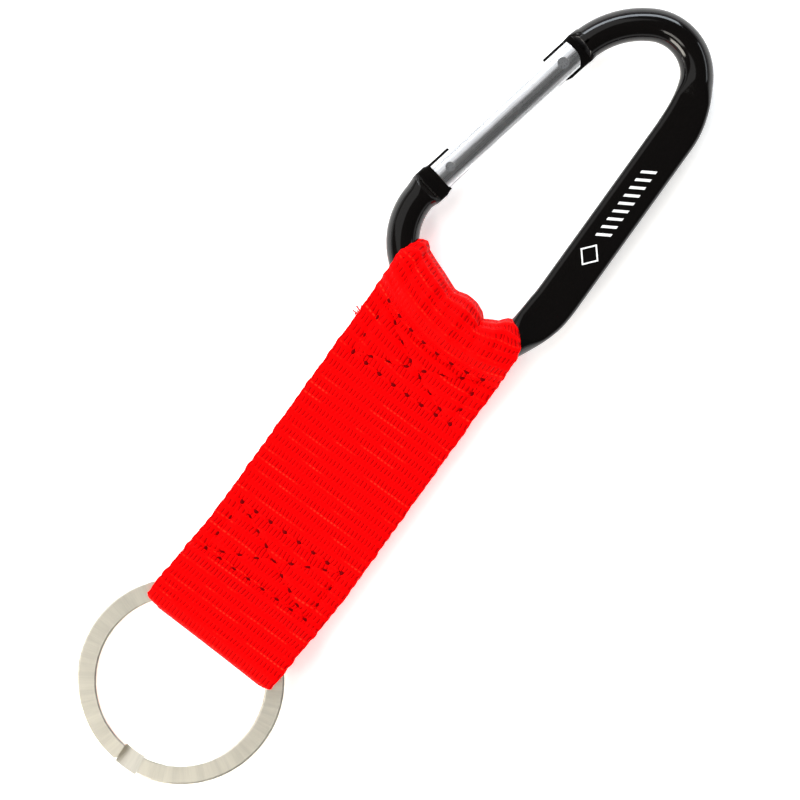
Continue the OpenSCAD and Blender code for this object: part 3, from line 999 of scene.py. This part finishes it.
class KEYRING_OT_webbing(bpy.types.Operator):
    """One strip of ribbed webbing, folded round the base and the ring"""

    bl_idname = "keyring.webbing"
    bl_label = "Webbing"

    def execute(self, context):
        size = context.scene.keyring_strap
        line = strip_line()
        step = np.hypot(*np.diff(line, axis=0).T)
        s = np.concatenate([[0], np.cumsum(step)])
        tangent = np.gradient(line, axis=0)
        tangent /= np.hypot(*tangent.T)[:, None]
        normal = np.stack([tangent[:, 1], -tangent[:, 0]], 1)
        across = size.across
        u = np.linspace(-HALF, HALF, across + 1)
        ss, uu = np.meshgrid(s - s[line[:, 0].argmin()], u, indexing="ij")
        yy = np.repeat(line[:, 0:1], across + 1, 1)
        zz = np.repeat(line[:, 1:2], across + 1, 1)
        ny = np.repeat(normal[:, 0:1], across + 1, 1)
        nz = np.repeat(normal[:, 1:2], across + 1, 1)
        front = zz >= 0
        pull = np.where(
            (np.abs(zz) < 2.4) & (yy > -24) & (yy < 26.8), pucker_at(uu, yy), 0
        )
        loose = np.clip((10.5 - np.abs(uu)) / 2, 0, 1) * (1 - pull)
        bulge = 0.26 * np.exp(-(((yy - 20.8) / 3.2) ** 2))
        bulge += 0.2 * np.exp(-(((yy + 17.9) / 3.6) ** 2))
        bulge += 0.22 * np.exp(-(((yy - 27.4) / 1.3) ** 2)) * front
        xx, shown = drawn(uu, yy)
        gather = ease((yy - 24.5) / 6.5)

        # the corners of the fold are squeezed in by the ring
        inner = RING_RADIUS - RING_BAND - RING_ROOM
        hole = inner**2 - (shown + RING_DROP) ** 2
        room = np.sqrt(np.clip(hole, 0, None))
        crest = ease((-31.5 - yy) / 2.2) * ease((2.25 - np.abs(zz)) / 0.7)
        inside = np.clip(xx, -0.9 - room, -0.9 + room)
        xx = xx + (inside - xx) * crest

        # folds left by the gathering run down from the rim
        folds = (
            0.25
            + 0.22 * np.sin(xx * 0.95 + 0.7)
            + 0.14 * np.sin(xx * 2.1 - 1.1)
            + 0.07 * np.sin(xx * 3.9 + 2.0)
            - 0.75 * np.exp(-(((xx - 4.5) / 0.8) ** 2)) * ease((yy - 31) / 4)
        )
        folds = np.maximum(folds, -0.3)
        zz = zz + np.where(front, 1, -1) * folds * gather
        # outside the arms of the frame the cloth drops a little at its edges
        edge = np.clip((np.abs(uu) - 9.0) / 3.5, 0, 1)
        zz = zz - np.where(front, 1, 0) * edge**2 * 0.5 * ease((yy - 26) / 4)

        # ribs across and scalloped selvedges
        phase = 2 * np.pi * ss / (size.rib / MM)
        rib = np.cos(phase) + 0.25 * np.cos(2 * phase)
        wave = 0.07 * np.sin(yy * 0.55 + 0.4) + 0.07 * np.sin(yy * 0.23 + xx * 0.12)
        selvedge = np.clip((np.abs(uu) - 11.6) / 0.9, 0, 1)
        outward = 0.055 * rib - 0.42 * pull + bulge * loose + wave - 0.16 * selvedge**2
        border = np.sign(uu) * np.clip((np.abs(uu) - 10.9) / 1.6, 0, 1)
        ragged = 0.07 * np.sin(ss * 0.8 + uu) + 0.06 * np.sin(ss * 2.3)
        xx = xx + border * (0.05 * np.cos(phase) + ragged)
        yy = shown
        pts = np.stack([xx, yy + ny * outward, zz + nz * outward], -1).reshape(-1, 3)
        pts = pts * MM + np.array(ORIGIN)
        rows, cols = len(s), across + 1
        i = np.arange(rows * cols).reshape(rows, cols)
        faces = np.stack(
            [i[:-1, :-1], i[1:, :-1], i[1:, 1:], i[:-1, 1:]], -1
        ).reshape(-1, 4)
        uv = np.stack([uu.ravel() * MM, ss.ravel() * MM], -1)
        obj = new_mesh("webbing_strip", pts, faces, uv)
        # the pucker depth, which the cloth's colour also uses for painted shade
        shade = obj.data.attributes.new("pull", "FLOAT", "POINT")
        shade.data.foreach_set("value", pull.ravel().astype(np.float32))
        solid = obj.modifiers.new("thick", "SOLIDIFY")
        solid.thickness = size.thickness
        solid.offset = 0.0
        solid.use_even_offset = False
        apply_all(obj)
        make_active(obj)
        bpy.ops.object.shade_smooth_by_angle(angle=math.radians(60))
        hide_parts("webbing_upper", "webbing_lower")
        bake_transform(obj)
        web_paint(size).on(obj)
        return {"FINISHED"}


def web_paint(size):
    """Rib-woven webbing: smooth ridges across, with rows of gaps between yarns; painted
    shade in the gaps and puckers, and a painted highlight along each rib.
    """
    paint = Paint(
        "red webbing",
        Specular_IOR_Level=0.1,
        Specular_Tint=(1.0, 0.15, 0.08, 1.0),
    )
    x, y, _ = paint.surface("cloth")
    drift = paint.noise(paint.join(x * 0.3, y * 0.3, 0.0), 1.0, 2.0) - 0.5
    fuzz = paint.noise(paint.join(x * 3.0, y * 5.0, 0.0), 2.2, 5.0, 0.7)
    patch = paint.noise(paint.join(x * 0.12, y * 0.45, 0.0), 1.0, 3.0)
    across = x / (size.yarn / MM) + drift * 0.7
    down = y / (size.rib / MM) + drift * 0.05
    part = down - down.floor()
    # each rib is a smooth ridge, then a row of upright gaps in painted shade, then a
    # thin line of painted highlight
    ridge = (down * 2 * math.pi).cos() * 0.5 + 0.5
    row = part.between(0.1, 0.22) * part.between(0.78, 0.9, 1.0, 0.0)
    line = part.between(0.86, 0.9) * part.between(0.93, 1.0, 1.0, 0.0)
    yarn = (across * math.pi).sin().abs()
    gap = yarn.between(0.05, 0.7, 1.0, 0.0)
    twist = ((across + down) * 2 * math.pi).sin() * 0.5 + 0.5
    # painted shade: the rows of gaps between yarns are darkened towards the shaded red,
    # and the fuzz adds a random darkening
    shade_and_fuzz = row * gap * patch.between(0.25, 0.6, 0.5, 0.9) + row * 0.14
    shade_and_fuzz = shade_and_fuzz + (1.0 - fuzz) * 0.12
    pull = paint.attribute("pull")
    base = (shade_and_fuzz * 0.85).clamp().mix(size.red, size.shade_red)
    # painted highlight: a thin orange line along each rib stands in for light glinting
    # on the yarns
    bright = line * yarn.between(0.45, 0.8) * patch.between(0.48, 0.66) * 0.55
    base = bright.mix(base, (1.0, 0.05, 0.02))
    # painted shade: the cloth darkens towards the shaded red where the sewing pulls it
    # in
    base = (pull.between(0.75, 1.0) * 0.5).mix(base, size.shade_red)
    height = ridge * 0.35 + row * (yarn - 0.6) * 0.6 + line * twist * 0.35 + fuzz * 0.16
    paint.set(
        Base_Color=base,
        Roughness=fuzz.between(0.3, 0.7, 0.5, 0.68),
        Normal=paint.bump(height, 0.2, 0.8),
    )
    return paint


class KEYRING_OT_stitching(bpy.types.Operator):
    """Sewing thread of both boxes, front and back, with dark beads of painted shade
    where the needle pierced the cloth
    """

    bl_idname = "keyring.stitching"
    bl_label = "Stitching"

    def execute(self, context):
        thread = Paint(
            "red thread",
            Roughness=0.6,
            Specular_IOR_Level=0.1,
            Specular_Tint=(1.0, 0.22, 0.1, 1.0),
        )
        x, y, z = thread.place()
        ply = thread.noise(thread.join(x * 2.0, y * 2.0, z * 2.0), 2.5, 3.0)
        twist = ((x + y + z) * 9.0).sin() * 0.5 + 0.5
        thread.set(
            Base_Color=(ply * 0.5 + twist * 0.5).mix(
                (0.95, 0.0004, 0.0014), (0.6, 0.0003, 0.0012)
            ),
            Normal=thread.bump(twist, 0.05, 0.6),
        )
        # painted shade: the needle's hole shows only as dark red beads, the shade inside
        # it; the mottle also varies their roughness
        hole = Paint("needle hole shade", Specular_IOR_Level=0.05)
        x, y, z = hole.place()
        hole_shade_mottle = hole.noise(hole.join(x, y, z), 4.0, 2.0)
        hole.set(
            Base_Color=hole_shade_mottle.mix((0.1, 0.0, 0.0006), (0.22, 0.0, 0.0008)),
            Roughness=hole_shade_mottle.between(0.2, 0.8, 0.8, 1.0),
        )
        cloth = bpy.data.objects["webbing_strip"]
        tree = BVHTree.FromObject(cloth, context.evaluated_depsgraph_get())
        for name, body, nodes in (
            ("upper", "strap_top", ("upper_needle_thread", "upper_bobbin_thread")),
            ("lower", "strap_bottom", ("lower_needle_thread", "lower_bobbin_thread")),
        ):
            spots = [s for s in stitch_spots() if (s[0].y > 0) == (name == "upper")]
            for side, node in zip((1, -1), nodes):
                word = "front" if side > 0 else "back"
                stitches = [(m, d, (ln * 0.36, 0.24, 0.16), -0.1) for m, d, ln in spots]
                obj = beads(f"{name}_thread_{word}", stitches, side, tree)
                thread.on(obj)
                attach(obj, body)
                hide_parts(node)
                # painted shade: a dark bead sits where the needle pierced the cloth,
                # standing in for the shade in that hole
                hole_shades = [
                    (m + d * ln * 0.5, d, (0.46, 0.38, 0.16), 0.0)
                    for m, d, ln in spots
                ]
                hole_shade_beads = beads(f"{name}_holes_{word}", hole_shades, side, tree)
                hole.on(hole_shade_beads)
                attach(hole_shade_beads, body)
        return {"FINISHED"}


def beads(name, spots, side, tree):
    """Flattened beads on the cloth's front (side 1) or back (side -1), each given as
    (middle, direction, half sizes, height), made as one piece."""
    pick_nothing()
    bpy.ops.mesh.primitive_uv_sphere_add(segments=12, ring_count=6, radius=1)
    pattern = bpy.context.object
    base = np.array([v.co for v in pattern.data.vertices])
    polys = [tuple(p.vertices) for p in pattern.data.polygons]
    bpy.data.objects.remove(pattern)
    verts, faces = [], []
    for m, d, half, height in spots:
        x, y = drawn(np.array(m.x), np.array(m.y))
        # looks at the cloth from well off it
        start = place(float(x), float(y), 15 * side)
        hit, n, _, _ = tree.ray_cast(start, Vector((0, 0, -side)))
        if hit is None:
            raise RuntimeError("a stitch found no cloth")
        n = (n + Vector((0, 0, 1.5 * side))).normalized()
        t = (Vector((d.x, d.y, 0)) - n * (d.x * n.x + d.y * n.y)).normalized()
        turn = np.array([t, n.cross(t), n])
        at = np.array(hit + n * height * MM)
        first = len(verts)
        verts += list((base * np.array(half) * MM) @ turn + at)
        faces += [[first + k for k in f] for f in polys]
    obj = new_mesh(name, verts, faces)
    for poly in obj.data.polygons:
        poly.use_smooth = True
    return obj


class KEYRING_OT_fray(bpy.types.Operator):
    """Loose yarn ends at the webbing's cut end"""

    bl_idname = "keyring.fray"
    bl_label = "Frayed end"

    def execute(self, context):
        rng = np.random.default_rng(7)
        # the first yarns stick out of the left edge, the rest out of the cut end
        edge_yarns, yarns = 16, 26
        curve = bpy.data.curves.new("frayed_end", "CURVE")
        curve.dimensions = "3D"
        curve.bevel_depth = 0.085 * MM
        curve.bevel_resolution = 1
        curve.use_fill_caps = True
        for i in range(yarns):
            edge = i < edge_yarns
            x = -12.2 + rng.uniform(-0.1, 0.5) if edge else rng.uniform(-11.5, 12)
            y = 22.7 + rng.uniform(-0.7, 0.5)
            z = -1.6 + rng.uniform(-0.7, 0.9 if edge else 0.1)
            out = rng.uniform(0.35, 1.15) if edge else 0.1
            rise = rng.uniform(-0.2, 0.75) if edge else rng.uniform(0.3, 0.8)
            sp = curve.splines.new("POLY")
            sp.points.add(4)
            for k in range(5):
                t = k / 4
                p = place(
                    x - out * t + 0.12 * math.sin(5 * t + i),
                    y + rise * t**1.5,
                    z + 0.25 * t * math.sin(i * 1.7),
                )
                sp.points[k].co = (*p, 1)
        obj = bpy.data.objects.new("frayed_end", curve)
        context.scene.collection.objects.link(obj)
        make_active(obj)
        bpy.ops.object.convert(target="MESH")
        obj = bpy.context.object
        outwards(obj)
        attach(obj, "strap_top")
        paint = Paint("loose yarn", Roughness=0.75, Sheen_Weight=0.3)
        x, y, z = paint.place()
        mix = paint.noise(paint.join(x, y, z), 2.0, 2.0)
        paint.set(Base_Color=mix.mix((0.85, 0.006, 0.004), (0.5, 0.0, 0.002)))
        paint.on(obj)
        return {"FINISHED"}


class KEYRING_OT_stage(bpy.types.Operator):
    """Pale floor, soft light and the camera"""

    bl_idname = "keyring.stage"
    bl_label = "Stage"

    def execute(self, context):
        size = context.scene.keyring_stage
        pick_nothing()
        bpy.ops.mesh.primitive_plane_add(size=6, location=(0, 0, -0.00005))
        floor = bpy.context.object
        floor.name = "floor"
        white = Paint(
            "white paper",
            Roughness=0.9,
            Specular_IOR_Level=0.1,
            Emission_Color=(1.0, 1.0, 1.0),
            Emission_Strength=0.5,
            Base_Color=(0.97, 0.965, 0.96),
        )
        white.on(floor)

        world = bpy.data.worlds.new("tent")
        world.use_nodes = True
        sky = world.node_tree.nodes["Background"]
        sky.inputs["Color"].default_value = (1, 1, 1, 1)
        # pale round the horizon and dim overhead
        tree = world.node_tree
        at = add_node(tree, "ShaderNodeTexCoord", out="Generated")
        up = add_node(tree, "ShaderNodeSeparateXYZ", None, {0: at}, "Z")
        tree.links.new(up.between(0.12, 0.3, 0.95, 0.08).socket, sky.inputs["Strength"])
        context.scene.world = world

        # each light: azimuth from the view's right, tilt from overhead, in degrees,
        # distance, width, height, brightness, colour
        for name, azimuth, tilt, far, w, h, bright, colour in (
            ("key", 133, 34, 0.9, 0.72, 0.74, 3.6, (1.0, 0.995, 0.99)),
            ("card", 133, 40, 0.9, 1.0, 0.9, 0.8, (1.0, 0.995, 0.99)),
            ("top", 88, 62, 1.0, 1.1, 0.26, 11.0, (0.86, 0.93, 1.0)),
            ("right", 20, 66, 1.0, 0.5, 0.16, 3.5, (0.9, 0.95, 1.0)),
            ("low", 218, 62, 1.0, 0.6, 0.34, 14.0, (1.0, 0.95, 0.86)),
            ("fill", 235, 30, 1.0, 0.4, 0.24, 6.0, (1.0, 0.97, 0.9)),
        ):
            lamp = bpy.data.lights.new(name, "AREA")
            lamp.shape = "RECTANGLE"
            lamp.size, lamp.size_y = w, h
            lamp.energy = bright * math.pi * w * h
            lamp.color = colour
            o = bpy.data.objects.new(name, lamp)
            a = math.radians(azimuth) + size.turn
            t = math.radians(tilt)
            o.location = far * Vector(
                (math.sin(t) * math.cos(a), math.sin(t) * math.sin(a), math.cos(t))
            )
            o.rotation_euler = (-o.location).to_track_quat("-Z", "Y").to_euler()
            # the key lights the cloth, and the dimmer card is what the metal mirrors
            o.visible_glossy = name != "key"
            o.visible_diffuse = name != "card"
            context.scene.collection.objects.link(o)

        cam = bpy.data.cameras.new("camera")
        cam.sensor_width = 36
        cam.lens = 36 * size.height / size.view_width
        cam.clip_start = 0.01
        o = bpy.data.objects.new("camera", cam)
        at = place(1.38, 15.08, 1.4)
        o.location = at + Vector((0, 0, size.height))
        o.rotation_euler = (0, 0, size.turn)
        context.scene.collection.objects.link(o)
        context.scene.camera = o
        context.scene.view_settings.view_transform = "Standard"
        context.scene.view_settings.look = "None"
        return {"FINISHED"}


class KEYRING_PT_panel(bpy.types.Panel):
    """Buttons for each piece"""

    bl_idname = "KEYRING_PT_panel"
    bl_label = "Carabiner keyring"
    bl_space_type = "VIEW_3D"
    bl_region_type = "UI"
    bl_category = "Keyring"

    def draw(self, context):
        for group in ("keyring_metal", "keyring_strap", "keyring_stage"):
            box = self.layout.box()
            data = getattr(context.scene, group)
            for name in data.__annotations__:
                box.prop(data, name)
        for op in PIECES:
            self.layout.operator(op.bl_idname)


GROUPS = {
    "keyring_metal": KeyringMetal,
    "keyring_strap": KeyringStrap,
    "keyring_stage": KeyringStage,
}
PIECES = (
    KEYRING_OT_frame,
    KEYRING_OT_gate,
    KEYRING_OT_ring,
    KEYRING_OT_webbing,
    KEYRING_OT_stitching,
    KEYRING_OT_fray,
    KEYRING_OT_stage,
)


def register():
    for cls in (*GROUPS.values(), *PIECES, KEYRING_PT_panel):
        bpy.utils.register_class(cls)
    for name, cls in GROUPS.items():
        setattr(bpy.types.Scene, name, PointerProperty(type=cls))


def unregister():
    for name in GROUPS:
        delattr(bpy.types.Scene, name)
    for cls in reversed((*GROUPS.values(), *PIECES, KEYRING_PT_panel)):
        bpy.utils.unregister_class(cls)


def main():
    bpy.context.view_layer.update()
    register()
    bpy.ops.keyring.frame()
    bpy.ops.keyring.gate()
    bpy.ops.keyring.ring()
    bpy.ops.keyring.webbing()
    bpy.ops.keyring.stitching()
    bpy.ops.keyring.fray()
    bpy.ops.keyring.stage()


if __name__ == "__main__":
    main()
